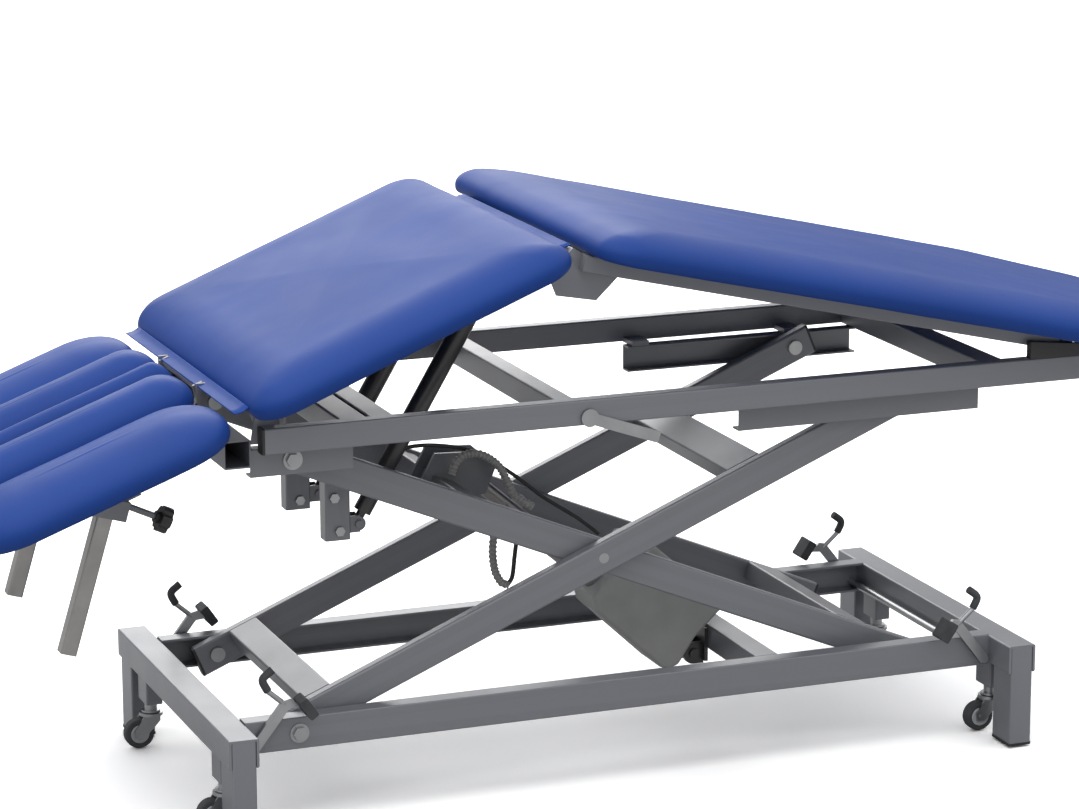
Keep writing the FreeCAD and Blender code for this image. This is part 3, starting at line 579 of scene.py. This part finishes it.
def hose(work, points, radius, spacing, groove=0.0, sides=14):
    """A round hose along a path; every second pair of rings is sunk by the groove's depth."""
    path = smooth_path(points, spacing)
    loops = []
    across = Vector((0, 1, 0))
    for k, point in enumerate(path):
        way = (path[min(k + 1, len(path) - 1)] - path[max(k - 1, 0)]).normalized()
        across = (across - way * across.dot(way)).normalized()
        up = way.cross(across)
        size = radius - (groove if k % 4 >= 2 else 0.0)
        loops.append([work.verts.new(point + (across * math.cos(a) + up * math.sin(a)) * size)
                      for a in (2 * math.pi * i / sides for i in range(sides))])
    for lower, upper in zip(loops, loops[1:]):
        for i in range(sides):
            j = (i + 1) % sides
            work.faces.new((lower[i], lower[j], upper[j], upper[i]))
    work.faces.new(loops[0][::-1])
    work.faces.new(loops[-1])


def build_cables():
    """The motor cable and its corrugated conduit, tied along the inner arms."""
    runs = (
        ("motor_cable", CABLE, 3.2, 5, 0.0,
         [(-330, -34, 507), (-287, -40, 519), (-238, -42, 517), (-180, -42, 501), (-122, -46, 463),
          (-71, -52, 421), (-17, -60, 384), (22, -66, 352)]),
        ("conduit", CONDUIT, 6.8, 1.4, 1.3,
         [(-226, -60, 474), (-218, -60, 493), (-200, -60, 504), (-176, -62, 501), (-151, -64, 483),
          (-136, -66, 456), (-124, -68, 432), (-96, -74, 412)]),
        ("conduit_loop", CONDUIT, 6.8, 1.4, 1.3,
         [(-142, -92, 424), (-163, -94, 398), (-172, -96, 362), (-170, -98, 326), (-160, -100, 304),
          (-148, -102, 299)]),
        ("loop_cable", CABLE, 3.6, 4, 0.0,
         [(-150, -102, 299), (-142, -102, 312), (-137, -100, 345), (-131, -98, 378),
          (-118, -92, 402)]),
    )
    for name, material, radius, spacing, groove, points in runs:
        points = [Vector(point) * MM for point in points]
        piece = make_object(name, lambda work, p=points, r=radius, s=spacing, g=groove:
                            hose(work, p, r * MM, s * MM, g * MM), material)
        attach(piece, "arms_b")


# ----------------------------------------------------------------------- stage

# The floor's colour for camera rays and for all others. No real surface is brighter than
# 1: this is a lighting stand-in that keeps the floor pale and the light from below low.
SEEN_WHITE = (1.25, 1.25, 1.25)
BOUNCE_GREY = (0.42, 0.42, 0.42)
HORIZON_STRENGTH = 0.30
ZENITH_STRENGTH = 2.05


def build_stage():
    """A floor that looks white but bounces little light, under a sky dim at the horizon."""
    mesh = bpy.data.meshes.new("floor")
    half = 45.0
    mesh.from_pydata([(-half, -half, 0), (half, -half, 0), (half, half, 0), (-half, half, 0)], [],
                     [(0, 1, 2, 3)])
    floor = bpy.data.objects.new("floor", mesh)
    bpy.context.scene.collection.objects.link(floor)
    material, tree, shader = new_material("floor", BOUNCE_GREY, 0.8, specular=0.1)
    seen = tree.nodes.new("ShaderNodeLightPath").outputs["Is Camera Ray"]
    tree.links.new(mixed(tree, seen, BOUNCE_GREY, SEEN_WHITE), shader.inputs["Base Color"])
    mesh.materials.append(material)
    world = bpy.data.worlds.new("studio")
    world.use_nodes = True
    sky = world.node_tree
    coords = sky.nodes.new("ShaderNodeTexCoord")
    split = sky.nodes.new("ShaderNodeSeparateXYZ")
    sky.links.new(coords.outputs["Generated"], split.inputs["Vector"])
    strength = spread(sky, split.outputs["Z"], HORIZON_STRENGTH, ZENITH_STRENGTH)
    sky.links.new(strength, sky.nodes["Background"].inputs["Strength"])
    sky.nodes["Background"].inputs["Color"].default_value = (1.0, 1.0, 1.0, 1)
    bpy.context.scene.world = world
    bpy.context.scene.view_settings.view_transform = "Standard"


def area_light(name, place, aim, power, wide):
    """A square area light at a place, aimed at a point."""
    data = bpy.data.lights.new(name, "AREA")
    data.energy = power
    data.size = wide
    light = bpy.data.objects.new(name, data)
    bpy.context.scene.collection.objects.link(light)
    turn = (Vector(aim) - Vector(place)).to_track_quat("-Z", "Y").to_matrix().to_4x4()
    light.matrix_world = Matrix.Translation(place) @ turn


def build_camera():
    """The camera; only its position, aim and lens are set."""
    data = bpy.data.cameras.new("camera")
    data.lens = 125.56
    data.sensor_width = 36
    camera = bpy.data.objects.new("camera", data)
    bpy.context.scene.collection.objects.link(camera)
    turn = (Matrix.Rotation(math.radians(-21.16), 4, "Z")
            @ Matrix.Rotation(math.radians(90 - 13.23), 4, "X")
            @ Matrix.Rotation(math.radians(-0.18), 4, "Z"))
    camera.matrix_world = Matrix.Translation((-2.1425, -5.3903, 1.9163)) @ turn
    bpy.context.scene.camera = camera


build_camera()
build_stage()
area_light("key", (-1.8, -0.4, 3.2), (0, 0, 0.6), 34, 3.0)
area_light("back", (0.8, 4.8, 2.5), (0, 0, 0.6), 75, 3.2)
paint_cad_nodes()
build_bed_pads()
build_head_pads()
build_castor_hubs()
build_hook_sleeves()
build_gap_strips()
build_cables()
